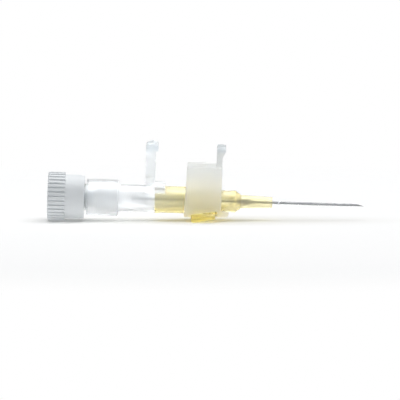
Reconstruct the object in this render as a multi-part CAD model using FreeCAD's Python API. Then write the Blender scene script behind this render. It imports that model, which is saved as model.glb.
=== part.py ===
import FreeCAD
import Part
import math
import os

# Small winged intravenous cannula, 24 gauge, as packed: catheter over its needle, flash chamber,
# vented luer plug and the clip-on grip handle. Lengths are in millimetres. X runs along the bore
# to the needle's point, Z is up, and the origin is the middle of the catheter hub's nose end.

# Catheter, needle and the steel wedge that holds the catheter in its hub
CATHETER_LENGTH = 19.0
CATHETER_RADIUS = 0.35
TIP_TAPER_LENGTH = 1.9
TIP_WALL = 0.03
NEEDLE_RADIUS = 0.24
NEEDLE_BORE_RADIUS = 0.15
NEEDLE_CLEARANCE = 0.02
NEEDLE_REACH = 2.86
BEVEL_LENGTH = 1.7
LANCET_LENGTH = 0.95
LANCET_ROLL = 38.0
WEDGE_FRONT_DEPTH = 4.6
WEDGE_CONE_LENGTH = 1.7
WEDGE_FLANGE_LENGTH = 0.7
WEDGE_TAIL_LENGTH = 1.65
WEDGE_RADIUS = 0.83
WEDGE_TAIL_RADIUS = 0.54
WEDGE_MOUTH_RADIUS = 0.42
WEDGE_LIP_WALL = 0.05
BOND_GAP = 0.01

# Catheter hub
HUB_LENGTH = 28.0
HUB_NOSE_LENGTH = 7.46
HUB_NOSE_TIP_RADIUS = 1.29
HUB_NOSE_ROOT_RADIUS = 1.6
HUB_SHOULDER_LENGTH = 1.31
HUB_FRONT_RADIUS = 2.53
HUB_BEAD_HEIGHT = 0.07
HUB_BEAD_FRONT_DEPTH = 9.85
HUB_BEAD_REAR_DEPTH = 11.3
HUB_CONE_LENGTH = 5.2
HUB_BARREL_LENGTH = 9.2
HUB_BARREL_RADIUS = 3.18
HUB_RIM_LENGTH = 1.2
HUB_RIM_RADIUS = 3.27
HUB_CHAMBER_RADIUS = 1.72
HUB_CHAMBER_FRONT_DEPTH = 10.1
HUB_FUNNEL_LENGTH = 0.6
NOTCH_LENGTH = 2.4
NOTCH_FLOOR_HEIGHT = 1.6

# Wings, moulded in one with the hub
WING_HALF_SPAN = 6.2
WING_REAR_DEPTH = 19.14
WING_TIP_CHORD = 5.8
WING_ROOT_CHORD = 8.1
WING_THICKNESS = 1.15
WING_LOW_EDGE = 4.95
WING_PITCH = 9.3
WING_DROOP = 9.0
WING_CORNER_RADIUS = 0.7
WING_FRONT_RADIUS = 0.7
WING_EDGE_CHAMFER = 0.25

# Luer cones, six per cent on the diameter, in the plug and in the catheter hub
LUER_SLOPE = 0.03
LUER_TIP_RADIUS = 1.975
LUER_CONE_LENGTH = 7.5
LUER_ENGAGED_LENGTH = 5.7
LUER_BORE_RADIUS = 1.15
LUER_FIT = 0.02
HUB_LUER_RADIUS = 2.15
HUB_LUER_LENGTH = 8.8

# Needle hub: luer nose, key, push plate and flash tube in one clear moulding
NOSE_END_GAP = 0.5
NOSE_BORE_RADIUS = 1.45
HUB_FACE_GAP = 0.12
FLASH_RADIUS = 3.28
FLASH_BORE_RADIUS = 2.45
FLASH_LENGTH = 13.7
PARTITION_THICKNESS = 1.6
CARRIER_LENGTH = 3.9
CARRIER_ROOT_RADIUS = 1.55
CARRIER_TIP_RADIUS = 0.75
KEY_GAP = 0.06
KEY_HEIGHT = 4.25
KEY_WIDTH = 3.2
KEY_ROUND = 0.35
PUSH_THICKNESS = 2.27
PUSH_WALL = 0.95
PUSH_WIDTH = 10.0
PUSH_FOOT_WIDTH = 5.6
PUSH_HEIGHT = 13.9
PUSH_SHOULDER_HEIGHT = 5.6
PUSH_HEAD_HEIGHT = 2.15
PUSH_HEAD_LIP = 0.62
PUSH_HEAD_PEAK_SHARE = 0.72
PUSH_HEAD_PEAK_RADIUS = 1.2
PUSH_HEAD_REAR_FALL = 0.85
PUSH_HEAD_REAR_RADIUS = 0.35
PUSH_HEAD_FRONT_FALL = 0.75
PUSH_LIP_RADIUS = 0.28
PUSH_CORNER_RADIUS = 1.4
PUSH_BEND_RADIUS = 0.4
PUSH_SHOULDER_RADIUS = 0.8
PUSH_POCKET_RADIUS = 0.5
PUSH_POCKET_RISE = 0.57
PUSH_POCKET_TOP_GAP = 0.29

# Rear socket with its luer neck, and the plug screwed on it
SOCKET_RADIUS = 4.35
SOCKET_LENGTH = 7.6
SOCKET_EDGE = 0.25
TUBE_SEAT_DEPTH = 5.15
TUBE_SEAT_GAP = 0.02
NECK_RADIUS = 3.15
NECK_LENGTH = 4.05
THREAD_LEAD = 5.0
THREAD_STARTS = 2
THREAD_CREST_RADIUS = 3.5
THREAD_FOOT_WIDTH = 0.95
THREAD_CREST_WIDTH = 0.45
THREAD_SINK = 0.15
THREAD_END_GAP = 0.35
THREAD_FLANK_GAP = 0.2
LUG_RADIUS = 3.9
LUG_ARC = 70.0
LUG_END_GAP = 0.05
PLUG_FRONT_PAST_TIP = 2.2
PLUG_COLLAR_RADIUS = 5.25
PLUG_CAVITY_RADIUS = 4.1
PLUG_COLLAR_LENGTH = 4.6
PLUG_LIP_LENGTH = 0.8
PLUG_LIP_STEP = 0.12
PLUG_BAND_LENGTH = 4.1
PLUG_RIB_RADIUS = 5.77
PLUG_GROOVE_DEPTH = 0.31
PLUG_RIB_COUNT = 34
PLUG_RIB_SHARE = 0.52
PLUG_FLOOR_SHARE = 0.2
PLUG_BAND_CHAMFER = 0.28
PLUG_BAND_OVERSIZE = 0.01
PLUG_RECESS_RADIUS = 3.1
PLUG_RECESS_DEPTH = 1.1
VENT_RADIUS = 2.5
VENT_THICKNESS = 0.4
VENT_SIDE_GAP = 0.04

# Grip handle, clipped over the catheter hub
GRIP_WALL = 1.0
GRIP_SIDE_GAP = 0.06
GRIP_SADDLE_GAP = 0.15
GRIP_SADDLE_THICKNESS = 0.95
GRIP_TOP_HEIGHT = 8.6
GRIP_TOP_HALF_WIDTH = 6.15
GRIP_FLARE_START = 3.2
GRIP_FLARE_RADIUS = 16.0
GRIP_TOP_RADIUS = 0.45
GRIP_SADDLE_FILLET = 0.6
GRIP_ROOT_FILLET = 0.5
GRIP_ROOT_STEP = 0.1
GRIP_BOTTOM_DEPTH = 3.75
GRIP_LOBE_BOTTOM_DEPTH = 3.55
GRIP_LOBE_TOP_DEPTH = 2.05
GRIP_LOBE_ROOT = 0.95
GRIP_LOBE_REACH = 1.85
GRIP_LOBE_RADIUS = 1.0
GRIP_LOBE_FILLET = 0.3
GRIP_HEEL_LENGTH = 1.71
GRIP_HEEL_RADIUS = 0.4
GRIP_REAR_SLANT = 0.6
GRIP_REAR_TOP_RADIUS = 0.5
GRIP_FOOT_RADIUS = 0.3
GRIP_WING_GAP = 0.2
GRIP_NOTCH_RADIUS = 0.2
GRIP_NOTCH_EDGE_RADIUS = 0.15
FRONT_PLATE_THICKNESS = 1.3
FRONT_PLATE_HEIGHT = 13.25
FRONT_PLATE_WIDTH = 9.6
FRONT_PLATE_LIP = 0.78
FRONT_PLATE_LIP_HEIGHT = 1.1
FRONT_PLATE_LIP_FALL = 2.5
FRONT_PLATE_ARCH_GAP = 0.25
FRONT_PLATE_CORNER_RADIUS = 1.3
FRONT_PLATE_BEND_RADIUS = 0.5
FRONT_PLATE_EDGE_RADIUS = 0.3
FRONT_PLATE_LIP_RADIUS = 0.2

# Places along X that follow from the sizes above
needle_point_x = CATHETER_LENGTH + NEEDLE_REACH
catheter_bore_radius = NEEDLE_RADIUS + NEEDLE_CLEARANCE
catheter_wall = CATHETER_RADIUS - catheter_bore_radius
wedge_front_x = -WEDGE_FRONT_DEPTH
wedge_cone_x = wedge_front_x - WEDGE_CONE_LENGTH
wedge_flange_x = wedge_cone_x - WEDGE_FLANGE_LENGTH
wedge_rear_x = wedge_flange_x - WEDGE_TAIL_LENGTH
wedge_lip_radius = catheter_bore_radius + WEDGE_LIP_WALL
wedge_cone_radius = WEDGE_RADIUS - catheter_wall
wedge_passage_radius = WEDGE_RADIUS + 2 * BOND_GAP
flare_slope = (wedge_cone_radius - wedge_lip_radius) / WEDGE_CONE_LENGTH
flare_front_x = wedge_front_x + (wedge_lip_radius + BOND_GAP - catheter_bore_radius) / flare_slope
hub_rear_x = -HUB_LENGTH
hub_shoulder_x = -HUB_NOSE_LENGTH - HUB_SHOULDER_LENGTH
hub_barrel_x = hub_rear_x + HUB_BARREL_LENGTH
hub_cone_x = hub_barrel_x + HUB_CONE_LENGTH
hub_luer_x = hub_rear_x + HUB_LUER_LENGTH
wing_rear_x = -WING_REAR_DEPTH
wing_tip_front_x = wing_rear_x + WING_TIP_CHORD
nose_front_x = hub_luer_x - NOSE_END_GAP
flash_front_x = hub_rear_x - HUB_FACE_GAP
flash_rear_x = flash_front_x - FLASH_LENGTH
partition_rear_x = flash_front_x - PARTITION_THICKNESS
needle_tail_x = partition_rear_x - CARRIER_LENGTH
push_front_x = flash_front_x
push_rear_x = push_front_x - PUSH_THICKNESS
socket_front_x = flash_rear_x + TUBE_SEAT_DEPTH
socket_rear_x = socket_front_x - SOCKET_LENGTH
neck_rear_x = socket_rear_x - NECK_LENGTH
plug_tip_x = neck_rear_x + LUER_ENGAGED_LENGTH
plug_floor_x = plug_tip_x - LUER_CONE_LENGTH
plug_front_x = plug_tip_x - PLUG_FRONT_PAST_TIP
plug_band_x = plug_front_x - PLUG_COLLAR_LENGTH
plug_rear_x = plug_band_x - PLUG_BAND_LENGTH
vent_rear_x = plug_rear_x + PLUG_RECESS_DEPTH
vent_front_x = vent_rear_x + VENT_THICKNESS
grip_notch_rear_x = wing_rear_x - GRIP_WING_GAP
grip_notch_front_x = wing_tip_front_x + GRIP_WING_GAP
grip_heel_x = grip_notch_rear_x - GRIP_HEEL_LENGTH
grip_rear_top_x = grip_heel_x + GRIP_REAR_SLANT
grip_front_x = grip_notch_front_x + GRIP_LOBE_ROOT
grip_lobe_x = grip_front_x + GRIP_LOBE_REACH
front_plate_rear_x = grip_front_x - FRONT_PLATE_THICKNESS

ORIGIN = FreeCAD.Vector(0, 0, 0)
ALONG_X = FreeCAD.Vector(1, 0, 0)
ALONG_Y = FreeCAD.Vector(0, 1, 0)
PAST_ALL = 3 * PUSH_HEIGHT
SAME_PLACE = 1e-6


def in_xz(u, v):
    """Point of a side view: u along X, v up."""
    return FreeCAD.Vector(u, 0, v)


def in_yz(u, v):
    """Point of a front view: u along Y, v up."""
    return FreeCAD.Vector(0, u, v)


def in_xy(u, v):
    """Point of a plan view: u along X, v along Y."""
    return FreeCAD.Vector(u, v, 0)


def turned(points):
    """Solid of revolution about X from its closed half section, given as (x, radius) corners."""
    corners = [in_xz(x, radius) for x, radius in points]
    section = Part.Face(Part.makePolygon(corners + corners[:1]))
    return section.revolve(ORIGIN, ALONG_X, 360)


def rod(x_from, x_to, radius):
    """Round bar about X."""
    return Part.makeCylinder(radius, x_to - x_from, FreeCAD.Vector(x_from, 0, 0), ALONG_X)


def block(x_from, x_to, y_from, y_to, z_from, z_to):
    """Box between two corners."""
    size = (x_to - x_from, y_to - y_from, z_to - z_from)
    return Part.makeBox(*size, FreeCAD.Vector(x_from, y_from, z_from))


def rounded_face(corners, place):
    """Face inside straight sides that meet in arcs. corners are (u, v, radius), place maps (u, v)."""
    edges = []
    last_end = None
    first_start = None
    for i, (u, v, radius) in enumerate(corners):
        here = place(u, v)
        back = place(*corners[i - 1][:2]) - here
        ahead = place(*corners[(i + 1) % len(corners)][:2]) - here
        half = back.getAngle(ahead) / 2
        back.normalize()
        ahead.normalize()
        start = here + back * (radius / math.tan(half))
        end = here + ahead * (radius / math.tan(half))
        middle = here + (back + ahead).normalize() * (radius / math.sin(half) - radius)
        if last_end is None:
            first_start = start
        else:
            edges.append(Part.LineSegment(last_end, start).toShape())
        if radius > 0:
            edges.append(Part.Arc(start, middle, end).toShape())
        last_end = end
    edges.append(Part.LineSegment(last_end, first_start).toShape())
    return Part.Face(Part.Wire(edges))


def mirrored(corners):
    """Corners (u, v, radius) of a right half, followed by the same ones of the left half."""
    return corners + [(-u, v, radius) for u, v, radius in reversed(corners)]


def slab(face, direction, start, length):
    """Face pushed out along direction, from start over length."""
    placed = face.copy()
    placed.translate(direction * start)
    return placed.extrude(direction * length)


def helical_ridge(x_from, x_to, start_angle, foot, crest, foot_width, crest_width):
    """Right-hand ridge of tapered section about X, from radius foot to radius crest."""
    path = Part.makeHelix(THREAD_LEAD, x_to - x_from, foot)
    section = Part.makePolygon([
        in_xz(foot, -foot_width / 2),
        in_xz(crest, -crest_width / 2),
        in_xz(crest, crest_width / 2),
        in_xz(foot, foot_width / 2),
        in_xz(foot, -foot_width / 2),
    ])
    ridge = Part.Wire(path.Edges).makePipeShell([section], True, True)
    ridge.rotate(ORIGIN, ALONG_Y, 90)
    ridge.rotate(ORIGIN, ALONG_X, start_angle)
    ridge.translate(ALONG_X * x_from)
    return ridge


def hub_outline():
    """Outer half profile of the catheter hub from rear to nose, as (x, radius)."""
    bead = HUB_FRONT_RADIUS + HUB_BEAD_HEIGHT
    return [
        (hub_rear_x, HUB_RIM_RADIUS),
        (hub_rear_x + HUB_RIM_LENGTH, HUB_RIM_RADIUS),
        (hub_rear_x + HUB_RIM_LENGTH, HUB_BARREL_RADIUS),
        (hub_barrel_x, HUB_BARREL_RADIUS),
        (hub_cone_x, bead),
        (-HUB_BEAD_REAR_DEPTH, bead),
        (-HUB_BEAD_REAR_DEPTH, HUB_FRONT_RADIUS),
        (-HUB_BEAD_FRONT_DEPTH, HUB_FRONT_RADIUS),
        (-HUB_BEAD_FRONT_DEPTH, bead),
        (hub_shoulder_x, bead),
        (-HUB_NOSE_LENGTH, HUB_NOSE_ROOT_RADIUS),
        (0, HUB_NOSE_TIP_RADIUS),
    ]


def hub_radius(x):
    """Outer radius of the catheter hub at x."""
    outline = hub_outline()
    for (x_a, r_a), (x_b, r_b) in zip(outline, outline[1:]):
        if x_a <= x <= x_b and x_b > x_a:
            return r_a + (r_b - r_a) * (x - x_a) / (x_b - x_a)
    return HUB_RIM_RADIUS


def ground_flat(length, roll):
    """Block above one flat of the point: it rises from the point to the needle's back."""
    across = 2 * NEEDLE_RADIUS
    flat = block(-3 * length, length, -across, across, 0, 2 * across)
    slope = math.atan2(2 * NEEDLE_RADIUS, length)
    flat.rotate(ORIGIN, ALONG_Y, math.degrees(slope))
    meet = NEEDLE_RADIUS * (1 - math.cos(math.radians(roll))) / math.tan(slope)
    flat.translate(FreeCAD.Vector(needle_point_x + meet, 0, -NEEDLE_RADIUS))
    flat.rotate(ORIGIN, ALONG_X, roll)
    return flat


def needle():
    """Steel tube with a lancet point: one long bevel facing up and two side flats."""
    tube = rod(needle_tail_x, needle_point_x, NEEDLE_RADIUS)
    tube = tube.cut(rod(needle_tail_x, needle_point_x, NEEDLE_BORE_RADIUS))
    tube = tube.cut(ground_flat(BEVEL_LENGTH, 0))
    for roll in (LANCET_ROLL, -LANCET_ROLL):
        tube = tube.cut(ground_flat(LANCET_LENGTH, roll))
    return tube


def catheter_tube():
    """Thin tube with a fine tapered tip, flared over the wedge at its hub end."""
    cone = wedge_cone_radius + BOND_GAP
    return turned([
        (CATHETER_LENGTH, catheter_bore_radius),
        (flare_front_x, catheter_bore_radius),
        (wedge_cone_x, cone),
        (wedge_cone_x, cone + catheter_wall),
        (flare_front_x, CATHETER_RADIUS),
        (CATHETER_LENGTH - TIP_TAPER_LENGTH, CATHETER_RADIUS),
        (CATHETER_LENGTH, catheter_bore_radius + TIP_WALL),
    ])


def wedge():
    """Steel funnel that spreads the catheter's end and guides the needle in."""
    return turned([
        (wedge_front_x, catheter_bore_radius),
        (wedge_front_x, wedge_lip_radius),
        (wedge_cone_x, wedge_cone_radius),
        (wedge_cone_x, WEDGE_RADIUS),
        (wedge_flange_x, WEDGE_RADIUS),
        (wedge_flange_x, WEDGE_TAIL_RADIUS),
        (wedge_rear_x, WEDGE_TAIL_RADIUS),
        (wedge_rear_x, WEDGE_MOUTH_RADIUS),
        (wedge_cone_x, catheter_bore_radius),
    ])


def wing(side):
    """One wing: rounded plate, drooped outwards and pitched nose up, with a narrow root ahead of it."""
    root = HUB_BARREL_RADIUS + GRIP_SIDE_GAP - GRIP_WING_GAP
    plan = rounded_face([
        (0, 0, 0),
        (0, side * WING_HALF_SPAN, WING_CORNER_RADIUS),
        (WING_TIP_CHORD, side * WING_HALF_SPAN, WING_FRONT_RADIUS),
        (WING_TIP_CHORD, side * root, 0),
        (WING_ROOT_CHORD, side * root, WING_CORNER_RADIUS),
        (WING_ROOT_CHORD, 0, 0),
    ], in_xy)
    plate = plan.extrude(FreeCAD.Vector(0, 0, WING_THICKNESS))
    plate = plate.makeChamfer(WING_EDGE_CHAMFER, [e for e in plate.Edges if is_rim(e)])
    plate.rotate(FreeCAD.Vector(0, side * WING_HALF_SPAN, 0), ALONG_X, -side * WING_DROOP)
    plate.rotate(ORIGIN, ALONG_Y, -WING_PITCH)
    plate.translate(FreeCAD.Vector(wing_rear_x, 0, -WING_LOW_EDGE))
    return plate


def is_rim(edge):
    """Whether an edge of a wing's plate runs along its free outline, not up it or on the middle."""
    box = edge.BoundBox
    on_middle = box.YLength < SAME_PLACE and abs(box.YMin) < SAME_PLACE
    return box.ZLength < WING_THICKNESS / 2 and not on_middle


def catheter_hub():
    """Yellow hub: revolved body, wings, key notch, luer bore, chamber and the wedge's seat."""
    body = turned([(hub_rear_x, 0)] + hub_outline() + [(0, 0)])
    body = body.fuse([wing(1), wing(-1)])
    bore = turned([
        (hub_rear_x, 0),
        (hub_rear_x, HUB_LUER_RADIUS),
        (hub_luer_x, HUB_LUER_RADIUS - LUER_SLOPE * HUB_LUER_LENGTH),
        (hub_luer_x, HUB_CHAMBER_RADIUS),
        (-HUB_CHAMBER_FRONT_DEPTH, HUB_CHAMBER_RADIUS),
        (-HUB_CHAMBER_FRONT_DEPTH + HUB_FUNNEL_LENGTH, wedge_passage_radius),
        (wedge_cone_x, wedge_passage_radius),
        (flare_front_x, CATHETER_RADIUS + BOND_GAP),
        (0, CATHETER_RADIUS + BOND_GAP),
        (0, 0),
    ])
    notch = block(
        hub_rear_x, hub_rear_x + NOTCH_LENGTH, -PAST_ALL, PAST_ALL, NOTCH_FLOOR_HEIGHT, PAST_ALL
    )
    return body.cut(bore).cut(notch)


def push_plate():
    """Upright paddle behind the catheter hub: channel section, and a head with a forward lip."""
    half = PUSH_WIDTH / 2
    foot = PUSH_FOOT_WIDTH / 2
    face = rounded_face(mirrored([
        (foot, 0, 0),
        (foot, FLASH_RADIUS, PUSH_BEND_RADIUS),
        (half, PUSH_SHOULDER_HEIGHT, PUSH_SHOULDER_RADIUS),
        (half, PUSH_HEIGHT, PUSH_CORNER_RADIUS),
    ]), in_yz)
    head_bottom = PUSH_HEIGHT - PUSH_HEAD_HEIGHT
    peak_x = push_rear_x + PUSH_THICKNESS * PUSH_HEAD_PEAK_SHARE
    lip_x = push_front_x + PUSH_HEAD_LIP
    head_side = rounded_face([
        (push_rear_x, head_bottom, 0),
        (push_rear_x, PUSH_HEIGHT - PUSH_HEAD_REAR_FALL, PUSH_HEAD_REAR_RADIUS),
        (peak_x, PUSH_HEIGHT, PUSH_HEAD_PEAK_RADIUS),
        (lip_x, PUSH_HEIGHT - PUSH_HEAD_FRONT_FALL, PUSH_LIP_RADIUS),
        (lip_x, head_bottom, PUSH_LIP_RADIUS),
    ], in_xz)
    head = slab(head_side, ALONG_Y, -PAST_ALL, 2 * PAST_ALL)
    stem = block(push_rear_x, push_front_x, -PAST_ALL, PAST_ALL, 0, head_bottom)
    reach = PUSH_THICKNESS + PUSH_HEAD_LIP
    paddle = slab(face, ALONG_X, push_rear_x, reach).common(stem.fuse(head))
    inset = half - PUSH_WALL
    pocket_face = rounded_face(mirrored([
        (foot - PUSH_WALL, FLASH_RADIUS + PUSH_WALL, PUSH_BEND_RADIUS),
        (inset, PUSH_SHOULDER_HEIGHT + PUSH_POCKET_RISE, PUSH_POCKET_RADIUS),
        (inset, head_bottom - PUSH_POCKET_TOP_GAP, PUSH_POCKET_RADIUS),
    ]), in_yz)
    return paddle.cut(slab(pocket_face, ALONG_X, push_rear_x, PUSH_THICKNESS - PUSH_WALL))


def key():
    """Tongue on the luer nose that fills the hub's notch, with a small raised block."""
    front = hub_rear_x + NOTCH_LENGTH - KEY_GAP
    saddle = rod(flash_front_x, front, HUB_BARREL_RADIUS)
    floor = NOTCH_FLOOR_HEIGHT + KEY_GAP
    saddle = saddle.common(block(flash_front_x, front, -PAST_ALL, PAST_ALL, floor, PAST_ALL))
    half = KEY_WIDTH / 2
    stub_face = rounded_face([
        (half, floor, 0),
        (half, KEY_HEIGHT, KEY_ROUND),
        (-half, KEY_HEIGHT, KEY_ROUND),
        (-half, floor, 0),
    ], in_yz)
    return saddle.fuse(slab(stub_face, ALONG_X, flash_front_x, front - flash_front_x))


def needle_hub():
    """Clear moulding: luer nose, partition with the needle's carrier, flash tube, key and plate."""
    nose_root = HUB_LUER_RADIUS - LUER_FIT
    nose_tip = nose_root - LUER_SLOPE * (nose_front_x - hub_rear_x)
    body = turned([
        (flash_rear_x, 0),
        (flash_rear_x, FLASH_RADIUS),
        (flash_front_x, FLASH_RADIUS),
        (flash_front_x, nose_root),
        (hub_rear_x, nose_root),
        (nose_front_x, nose_tip),
        (nose_front_x, 0),
    ])
    body = body.fuse([push_plate(), key()])
    chamber = turned([
        (flash_rear_x, 0),
        (flash_rear_x, FLASH_BORE_RADIUS),
        (partition_rear_x, FLASH_BORE_RADIUS),
        (partition_rear_x, CARRIER_ROOT_RADIUS),
        (needle_tail_x, CARRIER_TIP_RADIUS),
        (needle_tail_x, 0),
    ])
    nose_bore = rod(flash_front_x, nose_front_x, NOSE_BORE_RADIUS)
    needle_hole = rod(needle_tail_x, flash_front_x, NEEDLE_RADIUS + BOND_GAP)
    return body.cut(chamber).cut(nose_bore).cut(needle_hole)


def rear_socket():
    """Clear luer socket glued over the flash tube, with a neck and two lugs for the plug."""
    seat = FLASH_RADIUS + TUBE_SEAT_GAP
    mouth = LUER_TIP_RADIUS + LUER_SLOPE * LUER_ENGAGED_LENGTH + LUER_FIT
    throat = mouth - LUER_SLOPE * (flash_rear_x - neck_rear_x)
    body = turned([
        (socket_front_x, seat),
        (socket_front_x, SOCKET_RADIUS - SOCKET_EDGE),
        (socket_front_x - SOCKET_EDGE, SOCKET_RADIUS),
        (socket_rear_x + SOCKET_EDGE, SOCKET_RADIUS),
        (socket_rear_x, SOCKET_RADIUS - SOCKET_EDGE),
        (socket_rear_x, NECK_RADIUS),
        (neck_rear_x, NECK_RADIUS),
        (neck_rear_x, mouth),
        (flash_rear_x, throat),
        (flash_rear_x, seat),
    ])
    return body.fuse([lug(i) for i in range(THREAD_STARTS)])


def lug(index):
    """One lug on the neck's rim, a short piece of the plug's thread."""
    start_x = neck_rear_x + THREAD_FOOT_WIDTH / 2 + LUG_END_GAP
    end_x = start_x + THREAD_LEAD * LUG_ARC / 360
    mean_width = (THREAD_FOOT_WIDTH + THREAD_CREST_WIDTH) / 2
    offset = mean_width + THREAD_FLANK_GAP
    ridge_x = start_x + offset
    angle = 360 * (ridge_x - thread_start_x()) / THREAD_LEAD + 360 * index / THREAD_STARTS
    foot = NECK_RADIUS - THREAD_SINK
    return helical_ridge(
        start_x, end_x, angle, foot, LUG_RADIUS, THREAD_FOOT_WIDTH, THREAD_CREST_WIDTH
    )


def thread_start_x():
    """Middle of the plug's thread at its inner end."""
    return plug_floor_x + THREAD_END_GAP + THREAD_FOOT_WIDTH / 2


def luer_plug():
    """Grey plug: ribbed band, smooth collar, inner two-start thread and a hollow luer cone."""
    lip_radius = PLUG_COLLAR_RADIUS - PLUG_LIP_STEP
    shell = turned([
        (plug_rear_x, 0),
        (plug_rear_x, PLUG_COLLAR_RADIUS - PLUG_GROOVE_DEPTH),
        (plug_band_x, PLUG_COLLAR_RADIUS),
        (plug_front_x - PLUG_LIP_LENGTH, PLUG_COLLAR_RADIUS),
        (plug_front_x - PLUG_LIP_LENGTH, lip_radius),
        (plug_front_x, lip_radius),
        (plug_front_x, PLUG_CAVITY_RADIUS),
        (plug_floor_x, PLUG_CAVITY_RADIUS),
        (plug_floor_x, LUER_TIP_RADIUS + LUER_SLOPE * LUER_CONE_LENGTH),
        (plug_tip_x, LUER_TIP_RADIUS),
        (plug_tip_x, 0),
    ])
    ridges = [thread_ridge(i) for i in range(THREAD_STARTS)]
    body = shell.fuse([ribbed_band()] + ridges)
    vent_bore = rod(vent_rear_x, plug_tip_x, LUER_BORE_RADIUS)
    vent_seat = rod(vent_rear_x, vent_front_x, VENT_RADIUS + VENT_SIDE_GAP)
    recess = rod(plug_rear_x, vent_rear_x, PLUG_RECESS_RADIUS)
    return body.cut(vent_bore).cut(vent_seat).cut(recess)


def thread_ridge(index):
    """One start of the thread inside the plug's collar."""
    end_x = plug_front_x - THREAD_END_GAP - THREAD_FOOT_WIDTH / 2
    foot = PLUG_CAVITY_RADIUS + THREAD_SINK
    angle = 360 * index / THREAD_STARTS
    return helical_ridge(
        thread_start_x(), end_x, angle, foot, THREAD_CREST_RADIUS,
        THREAD_FOOT_WIDTH, THREAD_CREST_WIDTH,
    )


def ribbed_band():
    """Ring of finger ribs: grooves with slanted sides between crests, chamfered at the rear."""
    step = 2 * math.pi / PLUG_RIB_COUNT
    half_crest = step * PLUG_RIB_SHARE / 2
    half_floor = step * PLUG_FLOOR_SHARE / 2
    floor = PLUG_RIB_RADIUS - PLUG_GROOVE_DEPTH

    def at(radius, angle):
        return in_yz(radius * math.cos(angle), radius * math.sin(angle))

    edges = []
    for i in range(PLUG_RIB_COUNT):
        middle = i * step
        left = at(PLUG_RIB_RADIUS, middle - half_crest)
        right = at(PLUG_RIB_RADIUS, middle + half_crest)
        floor_left = at(floor, middle + step / 2 - half_floor)
        floor_right = at(floor, middle + step / 2 + half_floor)
        next_left = at(PLUG_RIB_RADIUS, middle + step - half_crest)
        edges.append(Part.Arc(left, at(PLUG_RIB_RADIUS, middle), right).toShape())
        edges += Part.makePolygon([right, floor_left, floor_right, next_left]).Edges
    band = slab(Part.Face(Part.Wire(edges)), ALONG_X, plug_rear_x, PLUG_BAND_LENGTH)
    end_radius = PLUG_RIB_RADIUS - PLUG_BAND_CHAMFER
    past_ribs = PLUG_RIB_RADIUS + PLUG_BAND_OVERSIZE
    envelope = turned([
        (plug_rear_x, 0),
        (plug_rear_x, end_radius),
        (plug_rear_x + PLUG_BAND_CHAMFER, past_ribs),
        (plug_band_x, past_ribs),
        (plug_band_x, 0),
    ])
    cavity = rod(plug_floor_x, plug_front_x, PLUG_CAVITY_RADIUS)
    return band.common(envelope).cut(cavity)


def vent_membrane():
    """Porous disc in the plug that lets air out and holds blood back."""
    return rod(vent_rear_x, vent_front_x, VENT_RADIUS)


def grip_section():
    """Front view of the handle: two legs beside the hub, a saddle over it, two flared grips."""
    inner = HUB_BARREL_RADIUS + GRIP_SIDE_GAP
    outer = inner + GRIP_WALL
    saddle_low = HUB_BARREL_RADIUS + GRIP_SADDLE_GAP
    saddle_high = saddle_low + GRIP_SADDLE_THICKNESS
    top_inner = GRIP_TOP_HALF_WIDTH - GRIP_WALL
    right = [
        (inner, saddle_low, GRIP_SADDLE_FILLET),
        (inner, -GRIP_BOTTOM_DEPTH, GRIP_FOOT_RADIUS),
        (outer, -GRIP_BOTTOM_DEPTH, GRIP_FOOT_RADIUS),
        (outer, GRIP_FLARE_START, GRIP_FLARE_RADIUS),
        (GRIP_TOP_HALF_WIDTH, GRIP_TOP_HEIGHT, GRIP_TOP_RADIUS),
        (top_inner, GRIP_TOP_HEIGHT, GRIP_TOP_RADIUS),
        (inner + GRIP_ROOT_STEP, saddle_high, GRIP_ROOT_FILLET),
    ]
    return rounded_face(mirrored(right), in_yz)


def grip_side():
    """Side view of the handle's panels: slanted rear, front lobe, and a gap over the wings."""
    rise = math.tan(math.radians(WING_PITCH))
    inward = WING_HALF_SPAN - HUB_BARREL_RADIUS - GRIP_SIDE_GAP
    wing_top = -WING_LOW_EDGE + (WING_THICKNESS + inward * math.sin(math.radians(WING_DROOP)))
    notch_rear_z = wing_top + GRIP_WING_GAP
    notch_front_z = notch_rear_z + (grip_notch_front_x - wing_rear_x) * rise
    return rounded_face([
        (grip_heel_x, -GRIP_BOTTOM_DEPTH, GRIP_HEEL_RADIUS),
        (grip_notch_rear_x, -GRIP_BOTTOM_DEPTH, GRIP_NOTCH_EDGE_RADIUS),
        (grip_notch_rear_x, notch_rear_z, GRIP_NOTCH_RADIUS),
        (grip_notch_front_x, notch_front_z, GRIP_NOTCH_RADIUS),
        (grip_notch_front_x, -GRIP_LOBE_BOTTOM_DEPTH, GRIP_NOTCH_EDGE_RADIUS),
        (grip_lobe_x, -GRIP_LOBE_BOTTOM_DEPTH, GRIP_LOBE_RADIUS),
        (grip_lobe_x, -GRIP_LOBE_TOP_DEPTH, GRIP_LOBE_FILLET),
        (grip_front_x, -GRIP_LOBE_TOP_DEPTH, GRIP_LOBE_FILLET),
        (grip_front_x, GRIP_TOP_HEIGHT, GRIP_LOBE_FILLET),
        (grip_rear_top_x, GRIP_TOP_HEIGHT, GRIP_REAR_TOP_RADIUS),
    ], in_xz)


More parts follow.
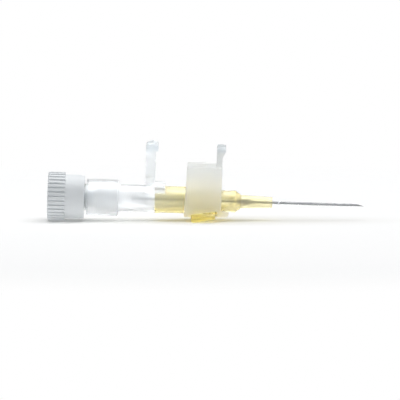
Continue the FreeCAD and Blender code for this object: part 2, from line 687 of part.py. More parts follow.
def front_plate():
    """Upright plate across the handle's front, with a hooked lip and an arch over the hub."""
    half = FRONT_PLATE_WIDTH / 2
    leg = HUB_BARREL_RADIUS + GRIP_SIDE_GAP + GRIP_WALL / 2
    face = rounded_face(mirrored([
        (leg, 0, 0),
        (leg, GRIP_FLARE_START, FRONT_PLATE_BEND_RADIUS),
        (half, GRIP_TOP_HEIGHT, FRONT_PLATE_BEND_RADIUS),
        (half, FRONT_PLATE_HEIGHT, FRONT_PLATE_CORNER_RADIUS),
    ]), in_yz)
    lip_x = grip_front_x + FRONT_PLATE_LIP
    lip_z = FRONT_PLATE_HEIGHT - FRONT_PLATE_LIP_HEIGHT
    side = rounded_face([
        (front_plate_rear_x, 0, 0),
        (front_plate_rear_x, FRONT_PLATE_HEIGHT, FRONT_PLATE_EDGE_RADIUS),
        (lip_x, FRONT_PLATE_HEIGHT, FRONT_PLATE_EDGE_RADIUS),
        (lip_x, lip_z, FRONT_PLATE_LIP_RADIUS),
        (grip_front_x, FRONT_PLATE_HEIGHT - FRONT_PLATE_LIP_FALL, FRONT_PLATE_LIP_RADIUS),
        (grip_front_x, 0, 0),
    ], in_xz)
    plate = slab(face, ALONG_X, front_plate_rear_x, FRONT_PLATE_THICKNESS + FRONT_PLATE_LIP)
    plate = plate.common(slab(side, ALONG_Y, -PAST_ALL, 2 * PAST_ALL))
    arch_radius = hub_radius(front_plate_rear_x) + FRONT_PLATE_ARCH_GAP
    return plate.cut(rod(front_plate_rear_x, grip_front_x, arch_radius))


def grip_handle():
    """Milky handle: section and side view crossed, with the front plate fused in."""
    body = slab(grip_section(), ALONG_X, grip_heel_x, grip_lobe_x - grip_heel_x)
    body = body.common(slab(grip_side(), ALONG_Y, -PAST_ALL, 2 * PAST_ALL))
    return body.fuse(front_plate())


PIECES = {
    "needle": needle,
    "catheter_tube": catheter_tube,
    "wedge": wedge,
    "catheter_hub": catheter_hub,
    "needle_hub": needle_hub,
    "rear_socket": rear_socket,
    "luer_plug": luer_plug,
    "vent_membrane": vent_membrane,
    "grip_handle": grip_handle,
}

os.makedirs("parts", exist_ok=True)
for name, make in PIECES.items():
    shape = make().removeSplitter()
    solid = shape.Solids[0] if len(shape.Solids) == 1 else shape
    solid.exportStep(f"parts/{name}.step")
    box = solid.BoundBox
    print(
        name, "solids", len(shape.Solids), "valid", solid.isValid(),
        "volume", round(solid.Volume, 3), "x", round(box.XMin, 2), round(box.XMax, 2),
        "y", round(box.YMin, 2), round(box.YMax, 2), "z", round(box.ZMin, 2), round(box.ZMax, 2),
    )
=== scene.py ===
"""Looks of a small winged intravenous cannula, built over its packed solids.

Lengths are in metres in the part's own frame: X runs along the bore to the needle's point, Z is
up with the push plate, and the origin is the middle of the catheter hub's nose end.
"""

import math
from typing import NamedTuple

import bpy
import numpy as np
from mathutils import Matrix, Vector


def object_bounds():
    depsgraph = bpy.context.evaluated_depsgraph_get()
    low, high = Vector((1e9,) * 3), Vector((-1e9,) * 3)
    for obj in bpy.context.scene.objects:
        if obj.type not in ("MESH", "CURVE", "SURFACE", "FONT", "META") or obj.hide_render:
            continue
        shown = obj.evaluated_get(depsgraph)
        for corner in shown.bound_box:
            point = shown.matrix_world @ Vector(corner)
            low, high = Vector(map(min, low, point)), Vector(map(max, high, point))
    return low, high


bl_info = {
    "name": "Winged cannula",
    "version": (1, 0, 0),
    "blender": (4, 5, 0),
    "location": "3D View > Sidebar > Cannula",
    "description": "Dresses the solids of a small winged cannula and sets its studio",
    "category": "Object",
}

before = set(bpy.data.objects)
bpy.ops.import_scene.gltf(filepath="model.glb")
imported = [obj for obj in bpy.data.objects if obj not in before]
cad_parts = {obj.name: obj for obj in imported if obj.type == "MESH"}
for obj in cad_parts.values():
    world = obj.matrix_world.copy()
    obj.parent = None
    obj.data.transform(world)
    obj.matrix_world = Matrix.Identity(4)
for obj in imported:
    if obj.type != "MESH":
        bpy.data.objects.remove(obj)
cad_box = [list(corner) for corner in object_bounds()]

# Pixels along one side of the photo
PHOTO_SIDE = 400
# Width of the camera's sensor in millimetres
SENSOR_WIDTH = 36
# Direction across the part, away from the camera
SIDE = Vector((0, 1, 0))
WHITE = (1.0, 1.0, 1.0)
# Rings and spokes of the floor's disc
FLOOR_RINGS = 6
FLOOR_SPOKES = 96
# Height within which a point of the plug counts as its lowest
TOUCH = 1e-6
# Detail of the noise behind the skins, and its middle value
NOISE_DETAIL = 3.0
NOISE_MIDDLE = 0.5
# Sockets of Blender's Mix node when it mixes colours
MIX_FIRST = 6
MIX_SECOND = 7
MIX_RESULT = 2


class Skin(NamedTuple):
    """Fine unevenness: noise cells in a metre, spread of the roughness and depth of the bumps."""

    scale: float
    spread: float
    height: float


SEE_THROUGH_SKIN = Skin(scale=900.0, spread=0.12, height=6e-6)
PLUG_SKIN = Skin(scale=5000.0, spread=0.12, height=6e-6)
FILTER_SKIN = Skin(scale=9000.0, spread=0.05, height=3e-5)
NEEDLE_GRAIN = Skin(scale=6000.0, spread=0.1, height=2e-6)
WEDGE_GRAIN = Skin(scale=4000.0, spread=0.15, height=3e-6)


def colour_property(name, description, default):
    """Colour setting in scene-linear red, green and blue."""
    return bpy.props.FloatVectorProperty(
        name=name, description=description, subtype="COLOR", size=3, min=0, max=1, default=default
    )


def length_property(name, description, default):
    """Length setting in metres."""
    return bpy.props.FloatProperty(
        name=name, description=description, default=default, unit="LENGTH", precision=5
    )


def number_property(name, description, default, low=0.0, high=10000.0):
    """Plain number setting."""
    return bpy.props.FloatProperty(
        name=name, description=description, default=default, min=low, max=high, precision=4
    )


def share_property(name, description, default):
    """Setting that runs from 0 to 1."""
    return bpy.props.FloatProperty(
        name=name, description=description, default=default, min=0, max=1, subtype="FACTOR"
    )


def angle_property(name, description, degrees):
    """Angle setting, with its default in degrees."""
    return bpy.props.FloatProperty(
        name=name, description=description, default=math.radians(degrees), subtype="ANGLE"
    )


class FloorSettings(bpy.types.PropertyGroup):
    """Floor and the soft painted shade on it"""

    radius: length_property("Radius", "Radius of the round pale floor", 0.17)
    clear_radius: length_property("Clear radius", "Radius within which it keeps shadows", 0.11)
    white_share: share_property("White rim", "Share of the radius where it turns white", 0.95)
    colour: colour_property("Colour", "Colour of the floor", (0.8, 0.8, 0.8))
    lift: number_property("Lift", "White added where the camera sees the floor", 0.08)
    bounce: number_property("Bounce", "White that the floor sends up to the part", 0.4)
    gloss: number_property("In gloss", "White added to the bounce for gloss and glass", 0.14)
    # The shade under the part is painted shade: a darker oval painted into the floor's colour, not
    # a cast shadow.
    shade_colour: colour_property("Shade", "Tone of the shade under the part", (0.82, 0.81, 0.77))
    shade_length: length_property("Shade length", "How far it reaches along the part", 0.062)
    shade_width: length_property("Shade width", "How far it reaches to each side", 0.019)


class LightSettings(bpy.types.PropertyGroup):
    """Softbox, fill and backdrop"""

    softbox_width: length_property("Softbox width", "Size of the overhead softbox along X", 0.9)
    softbox_depth: length_property("Softbox depth", "Size of the overhead softbox along Y", 0.9)
    softbox_height: length_property("Softbox height", "Its height over the floor", 0.7)
    softbox_forward: length_property("Softbox forward", "Its shift towards the camera", -0.06)
    softbox_level: number_property("Softbox level", "Brightness of the softbox, 1 is white", 3.12)
    fill_level: number_property("Fill level", "Brightness of the surroundings as a light", 0.12)
    room_colour: colour_property("Room", "What gloss shows beside the backdrop", (0.6, 0.66, 0.72))
    backdrop_edge: number_property("Backdrop edge", "How far round it reaches", 0.1, -1, 1)
    backdrop_full: number_property("Backdrop full", "Where it is full white", 0.65, -1, 1)


class CameraSettings(bpy.types.PropertyGroup):
    """Camera"""

    elevation: angle_property("Elevation", "Height angle of the camera over the floor", 5.4)
    distance: length_property("Distance", "Distance of the camera from the part", 1.3)
    pixel: length_property("Pixel", "Width that one pixel of the photo covers", 0.0002384)
    centre_x: length_property("Centre along", "Place along the bore in mid view", -0.01724)
    centre_z: length_property("Centre up", "Height in mid view", 0.0001)


class PlasticSettings(bpy.types.PropertyGroup):
    """All plastics"""

    refraction: number_property("Refraction", "Index of refraction of the plastics", 1.49, 1, 2)
    shine: share_property("Shine", "Specular level of the see-through plastics", 0.28)
    glow_length: length_property("Glow length", "How far light wanders inside them", 0.0025)


class ClearSettings(bpy.types.PropertyGroup):
    """Clear needle hub and rear socket"""

    tint: colour_property("Tint", "Surface colour of the clear plastic", (0.93, 0.943, 0.953))
    roughness: share_property("Roughness", "Roughness of the clear plastic", 0.25)
    clearness: share_property("Clearness", "Share of light that passes", 0.8)
    light_share: share_property("Light share", "Lamp light that gets past a face", 0.86)
    inside: colour_property("Inside", "Colour deep inside the plastic", (0.1, 0.35, 0.4))
    depth: number_property("Depth", "How fast the colour deepens", 8.0)
    frost_roughness: share_property("Frost", "Roughness of the frosted push plate", 0.5)
    frost_low: length_property("Frost low", "Height at which the frost starts", 0.0034)
    frost_high: length_property("Frost high", "Height at which the frost is full", 0.0042)
    # The head's cool tone is partly the thick plastic's own tint and partly painted shade: its top
    # is painted darker against the softbox's light.
    head_tint_and_painted_shade: colour_property("Head", "Cool tone of the plate's thick head", (0.76, 0.81, 0.845))
    head_low: length_property("Head low", "Height at which that tone starts", 0.011)
    head_high: length_property("Head high", "Height at which that tone is full", 0.0128)


class HubSettings(bpy.types.PropertyGroup):
    """Yellow catheter hub and its wings"""

    tint: colour_property("Tint", "Surface colour of the hub", (0.915, 0.885, 0.72))
    roughness: share_property("Roughness", "Roughness of the hub", 0.15)
    clearness: share_property("Clearness", "Share of light that passes", 0.86)
    light_share: share_property("Light share", "Lamp light that gets past a face", 0.76)
    inside: colour_property("Inside", "Colour deep inside the hub", (0.95, 0.82, 0.0))
    depth: number_property("Depth", "How fast the colour deepens", 150.0)
    # The wings' brighter, deeper yellow is painted light: it stands in for light passing through
    # them where they sit in the handle's shadow.
    wing_painted_light_tint: colour_property("Wing tint", "Surface colour of the wings", (1.0, 0.92, 0.45))
    wing_roughness: share_property("Wing roughness", "Roughness of the wings", 1.0)
    wing_low: length_property("Wing low", "Height under which their finish is full", -0.0036)
    wing_high: length_property("Wing high", "Height over which it has gone", -0.0026)


class TubeSettings(bpy.types.PropertyGroup):
    """Thin catheter tube"""

    tint: colour_property("Tint", "Surface colour of the tube", (0.84, 0.86, 0.87))
    roughness: share_property("Roughness", "Roughness of the tube", 0.25)
    clearness: share_property("Clearness", "Share of light that passes", 0.78)
    light_share: share_property("Light share", "Lamp light that gets past a face", 0.76)


class HandleSettings(bpy.types.PropertyGroup):
    """Milky grip handle"""

    tint: colour_property("Tint", "Surface colour of the handle", (0.82, 0.83, 0.822))
    roughness: share_property("Roughness", "Roughness of the handle", 0.85)
    clearness: share_property("Clearness", "Share of light that passes", 0.58)
    light_share: share_property("Light share", "Lamp light that gets past a face", 0.42)
    # Painted light: a warm yellow glow painted on the handle's lower part, standing in for the
    # hub's light seen through it.
    painted_glow_tint: colour_property("Glow", "Its colour beside the yellow hub", (1.0, 0.955, 0.8))
    painted_glow_low: length_property("Glow low", "Height under which the glow is full", -0.0003)
    painted_glow_high: length_property("Glow high", "Height over which it has gone", 0.0082)
    # Painted highlight: a lighter tone painted along the grips' top edges, standing in for the
    # light on them.
    painted_highlight_tint: colour_property("Top", "Lighter tone of the grips' tops", (0.89, 0.9, 0.895))
    painted_highlight_low: length_property("Top low", "Height at which that tone is full", 0.0086)
    painted_highlight_high: length_property("Top high", "Height at which it has gone", 0.0096)
    # The head's cool tone is partly the plastic's own tint and partly painted shade: its top is
    # painted darker against the softbox's light.
    head_tint_and_painted_shade: colour_property("Head", "Cool tone of the front plate's head", (0.71, 0.755, 0.785))
    head_low: length_property("Head low", "Height at which that tone starts", 0.0113)
    head_high: length_property("Head high", "Height at which that tone is full", 0.0127)


class PlugSettings(bpy.types.PropertyGroup):
    """Grey plug and its vent disc"""

    colour: colour_property("Plug", "Colour of the plug", (0.69, 0.715, 0.73))
    roughness: share_property("Plug roughness", "Roughness of the plug", 0.42)
    filter_colour: colour_property("Filter", "Colour of the vent disc", (0.82, 0.82, 0.79))
    filter_roughness: share_property("Filter roughness", "Roughness of the vent disc", 0.9)


class SteelSettings(bpy.types.PropertyGroup):
    """Steel needle and wedge"""

    needle_colour: colour_property("Needle", "Colour of the needle", (0.2, 0.205, 0.21))
    needle_roughness: share_property("Needle roughness", "Roughness of the needle", 0.24)
    wedge_colour: colour_property("Wedge", "Colour of the wedge", (0.27, 0.26, 0.24))
    wedge_roughness: share_property("Wedge roughness", "Roughness of the wedge", 0.34)


# Settings by the name under which the scene holds them
SETTINGS = {
    "cannula_floor": FloorSettings,
    "cannula_light": LightSettings,
    "cannula_camera": CameraSettings,
    "cannula_plastic": PlasticSettings,
    "cannula_clear": ClearSettings,
    "cannula_hub": HubSettings,
    "cannula_tube": TubeSettings,
    "cannula_handle": HandleSettings,
    "cannula_plug": PlugSettings,
    "cannula_steel": SteelSettings,
}


def add_node(tree, kind, inputs=None, **settings):
    """Node of a tree with its settings.

    The inputs, by socket name or number, are values or the outputs of other nodes.
    """
    node = tree.nodes.new(kind)
    for name, value in settings.items():
        setattr(node, name, value)
    for socket, value in (inputs or {}).items():
        if isinstance(value, bpy.types.NodeSocket):
            tree.links.new(value, node.inputs[socket])
        else:
            node.inputs[socket].default_value = value
    return node


def math_node(tree, operation, *inputs):
    """Result of a Math node."""
    node = add_node(tree, "ShaderNodeMath", dict(enumerate(inputs)), operation=operation)
    return node.outputs[0]


def map_range(tree, value, start, end, low=0.0, high=1.0, run="LINEAR"):
    """Result of a Map Range node: low where the value is at start, high where it is at end."""
    node = add_node(tree, "ShaderNodeMapRange", {
        "Value": value, "From Min": start, "From Max": end, "To Min": low, "To Max": high,
    }, interpolation_type=run)
    return node.outputs["Result"]


def opaque(colour):
    """Colour with full alpha."""
    return (*colour, 1.0)


def mix_colours(tree, factor, first, second):
    """The first colour where the factor is 0, running to the second where it is 1."""
    node = add_node(tree, "ShaderNodeMix", {
        "Factor": factor, MIX_FIRST: opaque(first), MIX_SECOND: opaque(second),
    }, data_type="RGBA")
    return node.outputs[MIX_RESULT]


def new_material(name):
    """Empty node material, with its tree and its output node."""
    material = bpy.data.materials.new(name)
    material.use_nodes = True
    tree = material.node_tree
    tree.nodes.clear()
    return material, tree, add_node(tree, "ShaderNodeOutputMaterial")


def skin_group():
    """Fine unevenness from noise on Object coordinates: a height, and a roughness that varies.

    The roughness that comes out is the one put in, plus Spread times how far the noise is from
    its middle value.
    """
    name = "Moulded skin"
    if name in bpy.data.node_groups:
        return bpy.data.node_groups[name]
    group = bpy.data.node_groups.new(name, "ShaderNodeTree")
    for socket in ("Scale", "Roughness", "Spread"):
        group.interface.new_socket(socket, in_out="INPUT", socket_type="NodeSocketFloat")
    for socket in ("Height", "Roughness"):
        group.interface.new_socket(socket, in_out="OUTPUT", socket_type="NodeSocketFloat")
    given = add_node(group, "NodeGroupInput").outputs
    place = add_node(group, "ShaderNodeTexCoord")
    noise = add_node(group, "ShaderNodeTexNoise", {
        "Vector": place.outputs["Object"], "Scale": given["Scale"], "Detail": NOISE_DETAIL,
    })
    centred = math_node(group, "SUBTRACT", noise.outputs["Fac"], NOISE_MIDDLE)
    roughness = math_node(group, "MULTIPLY_ADD", centred, given["Spread"], given["Roughness"])
    add_node(group, "NodeGroupOutput", {"Height": noise.outputs["Fac"], "Roughness": roughness})
    return group


def add_skin(tree, shader, roughness, skin):
    """Gives a shader a skin: roughness that varies round a value, and a fine bump."""
    uneven = add_node(tree, "ShaderNodeGroup", {
        "Scale": skin.scale, "Roughness": roughness, "Spread": skin.spread,
    }, node_tree=skin_group())
    bump = add_node(tree, "ShaderNodeBump", {
        "Strength": 1.0, "Distance": skin.height, "Height": uneven.outputs["Height"],
    })
    tree.links.new(uneven.outputs["Roughness"], shader.inputs["Roughness"])
    tree.links.new(bump.outputs["Normal"], shader.inputs["Normal"])


def see_through_plastic(name, finish, inside=None, depth=0.0):
    """Plastic that refracts, and scatters the light that it doesn't let pass.

    It takes on the colour inside with depth. The finish's light_share of a lamp's light gets past
    each of its faces to what lies behind.
    """
    shared = bpy.context.scene.cannula_plastic
    material, tree, output = new_material(name)
    shader = add_node(tree, "ShaderNodeBsdfPrincipled", {
        "Base Color": opaque(finish.tint),
        "IOR": shared.refraction,
        "Specular IOR Level": shared.shine,
        "Transmission Weight": finish.clearness,
        "Subsurface Weight": 1.0,
        "Subsurface Radius": (shared.glow_length,) * 3,
        "Subsurface Scale": 1.0,
    })
    add_skin(tree, shader, finish.roughness, SEE_THROUGH_SKIN)
    path = add_node(tree, "ShaderNodeLightPath")
    passing = add_node(tree, "ShaderNodeBsdfTransparent")
    surface = add_node(tree, "ShaderNodeMixShader", {
        0: math_node(tree, "MULTIPLY", path.outputs["Is Shadow Ray"], finish.light_share),
        1: shader.outputs["BSDF"],
        2: passing.outputs["BSDF"],
    })
    tree.links.new(surface.outputs["Shader"], output.inputs["Surface"])
    if inside is not None:
        volume = add_node(tree, "ShaderNodeVolumeAbsorption", {
            "Color": opaque(inside), "Density": depth,
        })
        tree.links.new(volume.outputs["Volume"], output.inputs["Volume"])
    return material


def by_height(tree, low, high, low_value, high_value, run):
    """Value that runs from low_value at height low to high_value at height high."""
    place = add_node(tree, "ShaderNodeTexCoord")
    parts = add_node(tree, "ShaderNodeSeparateXYZ", {0: place.outputs["Object"]})
    return map_range(tree, parts.outputs["Z"], low, high, low_value, high_value, run)


def principled(tree):
    """The Principled shader of a material's tree."""
    return next(node for node in tree.nodes if node.type == "BSDF_PRINCIPLED")


def roughness_by_height(material, low, high, low_roughness, high_roughness):
    """Lets a plastic's roughness run from one value at height low to another at height high."""
    tree = material.node_tree
    roughness = by_height(tree, low, high, low_roughness, high_roughness, "SMOOTHSTEP")
    tree.links.new(roughness, principled(tree).inputs["Roughness"])


def tint_by_height(material, *stops):
    """Lets a plastic's base colour run through stops of height and colour, lowest first."""
    tree = material.node_tree
    low, high = stops[0][0], stops[-1][0]
    share = by_height(tree, low, high, 0.0, 1.0, "LINEAR")
    node = add_node(tree, "ShaderNodeValToRGB", {"Fac": share})
    ramp = node.color_ramp
    ramp.interpolation = "EASE"
    for height, _ in stops[1:-1]:
        ramp.elements.new((height - low) / (high - low))
    for element, (_, colour) in zip(ramp.elements, stops):
        element.color = opaque(colour)
    tree.links.new(node.outputs["Color"], principled(tree).inputs["Base Color"])


def skinned(name, colour, roughness, skin, inputs):
    """Opaque material with a skin and further inputs of its shader."""
    material, tree, output = new_material(name)
    shader = add_node(tree, "ShaderNodeBsdfPrincipled", {"Base Color": opaque(colour), **inputs})
    add_skin(tree, shader, roughness, skin)
    tree.links.new(shader.outputs["BSDF"], output.inputs["Surface"])
    return material


def moulded_plastic(name, colour, roughness, skin):
    """Opaque moulded plastic."""
    refraction = bpy.context.scene.cannula_plastic.refraction
    return skinned(name, colour, roughness, skin, {"IOR": refraction})


def steel(name, colour, roughness, grain):
    """Bare steel."""
    return skinned(name, colour, roughness, grain, {"Metallic": 1.0})


def dress(node_name, material):
    """Puts a material on a CAD node in place of its plain one."""
    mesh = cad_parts[node_name].data
    mesh.materials.clear()
    mesh.materials.append(material)


def node_vertices(node_name):
    """Corner points of a CAD node as rows of x, y and z."""
    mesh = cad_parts[node_name].data
    points = np.empty(len(mesh.vertices) * 3)
    mesh.vertices.foreach_get("co", points)
    return points.reshape(-1, 3)


def floor_basis():
    """Where and how the part rests: a floor point, and its forward and upward directions.

    The floor touches the plug's ribbed band at its lowest front edge and the lowest corner of the
    wings. Its slope is the least angle from that edge to any point of the hub.
    """
    plug = node_vertices("luer_plug")
    lowest = plug[:, 2].min()
    contact_x = plug[plug[:, 2] < lowest + TOUCH, 0].max()
    hub = node_vertices("catheter_hub")
    slope = np.arctan2(hub[:, 2] - lowest, hub[:, 0] - contact_x).min()
    forward = Vector((math.cos(slope), 0, math.sin(slope)))
    upward = Vector((-math.sin(slope), 0, math.cos(slope)))
    return Vector((contact_x, 0, lowest)), forward, upward


def disc(name, centre, forward, side, radius, rings, spokes):
    """Flat disc in polar form: centre + r * (forward * cos t + side * sin t), r up to radius."""
    r, t = np.meshgrid(
        np.linspace(0, 1, rings + 1)[1:] * radius,
        np.linspace(0, 2 * math.pi, spokes, endpoint=False),
        indexing="ij",
    )
    points = (
        np.array(centre)
        + (r * np.cos(t))[..., None] * np.array(forward)
        + (r * np.sin(t))[..., None] * np.array(side)
    ).reshape(-1, 3)
    points = np.vstack([np.array(centre)[None], points])
    spoke = np.arange(spokes)
    ahead = np.roll(spoke, -1)
    faces = np.stack([np.zeros_like(spoke), 1 + spoke, 1 + ahead], axis=1).tolist()
    for ring in range(rings - 1):
        inner, outer = 1 + ring * spokes, 1 + (ring + 1) * spokes
        faces += np.stack(
            [inner + spoke, outer + spoke, outer + ahead, inner + ahead], axis=1
        ).tolist()
    mesh = bpy.data.meshes.new(name)
    mesh.from_pydata(points.tolist(), [], faces)
    obj = bpy.data.objects.new(name, mesh)
    bpy.context.scene.collection.objects.link(obj)
    return obj


def gloss_or_glass(tree):
    """1 for rays that come by gloss or through glass, else 0."""
    path = add_node(tree, "ShaderNodeLightPath").outputs
    return math_node(tree, "MAXIMUM", path["Is Glossy Ray"], path["Is Transmission Ray"])


def shown_white(tree):
    """1 for rays from the camera and through gloss or glass, else 0."""
    path = add_node(tree, "ShaderNodeLightPath").outputs
    return math_node(tree, "MAXIMUM", path["Is Camera Ray"], gloss_or_glass(tree))


def floor_with_painted_shade(tree):
    """Floor colour with a painted shade: a little darker in a soft oval right under the part."""
    floor = bpy.context.scene.cannula_floor
    middle = (cad_box[0][0] + cad_box[1][0]) / 2
    long, wide = floor.shade_length, floor.shade_width
    place = add_node(tree, "ShaderNodeTexCoord")
    scaled = add_node(tree, "ShaderNodeVectorMath", {
        0: place.outputs["Object"], 1: (1 / long, 1 / wide, 0.0), 2: (-middle / long, 0.0, 0.0),
    }, operation="MULTIPLY_ADD")
    reach = add_node(tree, "ShaderNodeVectorMath", {
        0: scaled.outputs["Vector"],
    }, operation="LENGTH")
    shade = map_range(tree, reach.outputs["Value"], 0.0, 1.0, 1.0, 0.0, "SMOOTHERSTEP")
    shaded = [plain * tone for plain, tone in zip(floor.colour, floor.shade_colour)]
    return mix_colours(tree, shade, floor.colour, shaded)


def floor_glow(tree):
    """Strength of the white that the floor adds, by the kind of ray that meets it."""
    floor = bpy.context.scene.cannula_floor
    path = add_node(tree, "ShaderNodeLightPath")
    plain = map_range(tree, path.outputs["Is Camera Ray"], 0.0, 1.0, floor.bounce, floor.lift)
    return math_node(tree, "MULTIPLY_ADD", gloss_or_glass(tree), floor.gloss, plain)


def white_rim(tree, centre):
    """0 in the middle of the floor and 1 at its rim, for the rays that see it white, else 0."""
    floor = bpy.context.scene.cannula_floor
    place = add_node(tree, "ShaderNodeTexCoord")
    away = add_node(tree, "ShaderNodeVectorMath", {
        0: place.outputs["Object"], 1: tuple(centre),
    }, operation="DISTANCE")
    full = floor.radius * floor.white_share
    fade = map_range(tree, away.outputs["Value"], floor.clear_radius, full, run="SMOOTHSTEP")
    return math_node(tree, "MULTIPLY", fade, shown_white(tree))


def floor_material(centre):
    """Pale matt floor that keeps shadows near the part, with a painted shade right under it, and
    fades to white at its rim.
    """
    material, tree, output = new_material("pale_floor")
    matt = add_node(tree, "ShaderNodeBsdfDiffuse", {"Color": floor_with_painted_shade(tree)})
    lift = add_node(tree, "ShaderNodeEmission", {"Strength": floor_glow(tree)})
    white = add_node(tree, "ShaderNodeEmission", {"Color": opaque(WHITE), "Strength": 1.0})
    lifted = add_node(tree, "ShaderNodeAddShader", {0: matt.outputs[0], 1: lift.outputs[0]})
    faded = add_node(tree, "ShaderNodeMixShader", {
        0: white_rim(tree, centre), 1: lifted.outputs[0], 2: white.outputs[0],
    })
    tree.links.new(faded.outputs[0], output.inputs["Surface"])
    return material


def room_colour(tree):
    """White where the camera looks and over the backdrop, cool grey for other rays beside it."""
    light = bpy.context.scene.cannula_light
    path = add_node(tree, "ShaderNodeLightPath")
    place = add_node(tree, "ShaderNodeTexCoord")
    parts = add_node(tree, "ShaderNodeSeparateXYZ", {0: place.outputs["Generated"]})
    behind = map_range(
        tree, parts.outputs["Y"], light.backdrop_edge, light.backdrop_full, run="SMOOTHSTEP"
    )
    white = math_node(tree, "MAXIMUM", behind, path.outputs["Is Camera Ray"])
    return mix_colours(tree, white, light.room_colour, WHITE)


def set_world():
    """White surroundings: full white where seen, a plain fill as a light."""
    world = bpy.data.worlds.new("Studio")
    world.use_nodes = True
    tree = world.node_tree
    tree.nodes.clear()
    fill = bpy.context.scene.cannula_light.fill_level
    background = add_node(tree, "ShaderNodeBackground", {
        "Color": room_colour(tree),
        "Strength": map_range(tree, shown_white(tree), 0.0, 1.0, fill, 1.0),
    })
    add_node(tree, "ShaderNodeOutputWorld", {"Surface": background.outputs[0]})
    bpy.context.scene.world = world


def add_softbox(floor_point, upward):
    """Large overhead area light, parallel to the floor."""
    light = bpy.context.scene.cannula_light
    lamp = bpy.data.lights.new("softbox", "AREA")
    lamp.shape = "RECTANGLE"
    lamp.size = light.softbox_width
    lamp.size_y = light.softbox_depth
    lamp.energy = light.softbox_level * math.pi * lamp.size * lamp.size_y
    obj = bpy.data.objects.new("softbox", lamp)
    bpy.context.scene.collection.objects.link(obj)
    turn = Matrix((SIDE.cross(upward), SIDE, upward)).transposed().to_4x4()
    place = floor_point + upward * light.softbox_height - SIDE * light.softbox_forward
    obj.matrix_world = Matrix.Translation(place) @ turn


def add_camera(forward, upward):
    """Camera at the photo's angle: level with the floor's slope, looking along +Y."""
    view = bpy.context.scene.cannula_camera
    camera = bpy.data.cameras.new("camera")
    camera.sensor_width = SENSOR_WIDTH
    camera.lens = SENSOR_WIDTH * view.distance / (PHOTO_SIDE * view.pixel)
    obj = bpy.data.objects.new("camera", camera)
    bpy.context.scene.collection.objects.link(obj)
    back = upward * math.sin(view.elevation) - SIDE * math.cos(view.elevation)
    turn = Matrix((forward, back.cross(forward), back)).transposed().to_4x4()
    target = Vector((view.centre_x, 0, view.centre_z))
    obj.matrix_world = Matrix.Translation(target + back * view.distance) @ turn
    bpy.context.scene.camera = obj


class CANNULA_OT_stage(bpy.types.Operator):
    """Sets the floor, the softbox, the surroundings and the camera"""

    bl_idname = "cannula.stage"
    bl_label = "Set the studio"

    def execute(self, context):
        floor_point, forward, upward = floor_basis()
        middle = floor_point + forward * (context.scene.cannula_camera.centre_x - floor_point.x)
        radius = context.scene.cannula_floor.radius
        floor = disc("floor", middle, forward, SIDE, radius, FLOOR_RINGS, FLOOR_SPOKES)
        floor.data.materials.append(floor_material(middle))
        add_softbox(middle, upward)
        set_world()
        add_camera(forward, upward)
        context.scene.view_settings.view_transform = "Standard"
        return {"FINISHED"}


class CANNULA_OT_steel(bpy.types.Operator):
    """Finishes the needle and the wedge"""

    bl_idname = "cannula.steel"
    bl_label = "Needle and wedge"

    def execute(self, context):
        s = context.scene.cannula_steel
        needle = steel("needle_steel", s.needle_colour, s.needle_roughness, NEEDLE_GRAIN)
        wedge = steel("wedge_steel", s.wedge_colour, s.wedge_roughness, WEDGE_GRAIN)
        dress("needle", needle)
        dress("wedge", wedge)
        return {"FINISHED"}


class CANNULA_OT_catheter(bpy.types.Operator):
    """Finishes the thin catheter tube"""

    bl_idname = "cannula.catheter"
    bl_label = "Catheter tube"

    def execute(self, context):
        tube = see_through_plastic("catheter_plastic", context.scene.cannula_tube)
        dress("catheter_tube", tube)
        return {"FINISHED"}


class CANNULA_OT_catheter_hub(bpy.types.Operator):
    """Finishes the yellow catheter hub and its wings"""

    bl_idname = "cannula.catheter_hub"
    bl_label = "Catheter hub"

    def execute(self, context):
        s = context.scene.cannula_hub
        yellow = see_through_plastic("yellow_plastic", s, s.inside, s.depth)
        roughness_by_height(yellow, s.wing_low, s.wing_high, s.wing_roughness, s.roughness)
        # Painted light on the wings: a brighter, deeper yellow low down.
        tint_by_height(yellow, (s.wing_low, s.wing_painted_light_tint), (s.wing_high, s.tint))
        dress("catheter_hub", yellow)
        return {"FINISHED"}


class CANNULA_OT_clear_mouldings(bpy.types.Operator):
    """Finishes the clear needle hub and rear socket"""

    bl_idname = "cannula.clear_mouldings"
    bl_label = "Clear mouldings"

    def execute(self, context):
        s = context.scene.cannula_clear
        clear = see_through_plastic("clear_plastic", s, s.inside, s.depth)
        roughness_by_height(clear, s.frost_low, s.frost_high, s.roughness, s.frost_roughness)
        # A darker, cooler head on the push plate, partly painted shade.
        tint_by_height(clear, (s.head_low, s.tint), (s.head_high, s.head_tint_and_painted_shade))
        dress("needle_hub", clear)
        dress("rear_socket", clear)
        return {"FINISHED"}


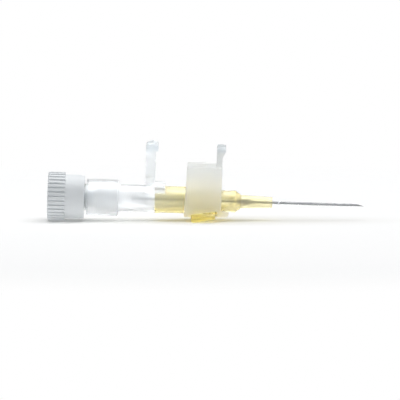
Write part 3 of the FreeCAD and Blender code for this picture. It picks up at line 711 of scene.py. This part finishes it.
class CANNULA_OT_plug(bpy.types.Operator):
    """Finishes the grey plug and its vent disc"""

    bl_idname = "cannula.plug"
    bl_label = "Plug and vent"

    def execute(self, context):
        s = context.scene.cannula_plug
        grey = moulded_plastic("grey_plastic", s.colour, s.roughness, PLUG_SKIN)
        porous = moulded_plastic("vent_filter", s.filter_colour, s.filter_roughness, FILTER_SKIN)
        dress("luer_plug", grey)
        dress("vent_membrane", porous)
        return {"FINISHED"}


class CANNULA_OT_grip_handle(bpy.types.Operator):
    """Finishes the milky grip handle"""

    bl_idname = "cannula.grip_handle"
    bl_label = "Grip handle"

    def execute(self, context):
        s = context.scene.cannula_handle
        milky = see_through_plastic("milky_plastic", s)
        # Painted light by height: a yellow glow painted low down, a painted highlight on the
        # grips' tops, and a darker head that is partly painted shade.
        tint_by_height(
            milky,
            (s.painted_glow_low, s.painted_glow_tint), (s.painted_glow_high, s.tint),
            (s.painted_highlight_low, s.painted_highlight_tint), (s.painted_highlight_high, s.tint),
            (s.head_low, s.tint), (s.head_high, s.head_tint_and_painted_shade),
        )
        dress("grip_handle", milky)
        return {"FINISHED"}


OPERATORS = (
    CANNULA_OT_steel,
    CANNULA_OT_catheter,
    CANNULA_OT_catheter_hub,
    CANNULA_OT_clear_mouldings,
    CANNULA_OT_plug,
    CANNULA_OT_grip_handle,
    CANNULA_OT_stage,
)


class CANNULA_PT_sidebar(bpy.types.Panel):
    """Lists the pieces and their settings"""

    bl_label = "Winged cannula"
    bl_idname = "CANNULA_PT_sidebar"
    bl_space_type = "VIEW_3D"
    bl_region_type = "UI"
    bl_category = "Cannula"

    def draw(self, context):
        column = self.layout.column()
        for operator in OPERATORS:
            column.operator(operator.bl_idname)
        for place, group in SETTINGS.items():
            column.label(text=group.__doc__)
            for name in group.__annotations__:
                column.prop(getattr(context.scene, place), name)


CLASSES = (*SETTINGS.values(), *OPERATORS, CANNULA_PT_sidebar)


def register():
    """Registers the classes and hangs the settings on the scene."""
    for cls in CLASSES:
        bpy.utils.register_class(cls)
    for place, group in SETTINGS.items():
        setattr(bpy.types.Scene, place, bpy.props.PointerProperty(type=group))


def unregister():
    """Takes the settings off the scene and removes the classes."""
    for place in SETTINGS:
        delattr(bpy.types.Scene, place)
    for cls in reversed(CLASSES):
        bpy.utils.unregister_class(cls)


def main():
    """Dresses every piece and sets the studio."""
    register()
    for operator in OPERATORS:
        group, name = operator.bl_idname.split(".")
        getattr(getattr(bpy.ops, group), name)()


if __name__ == "__main__":
    main()
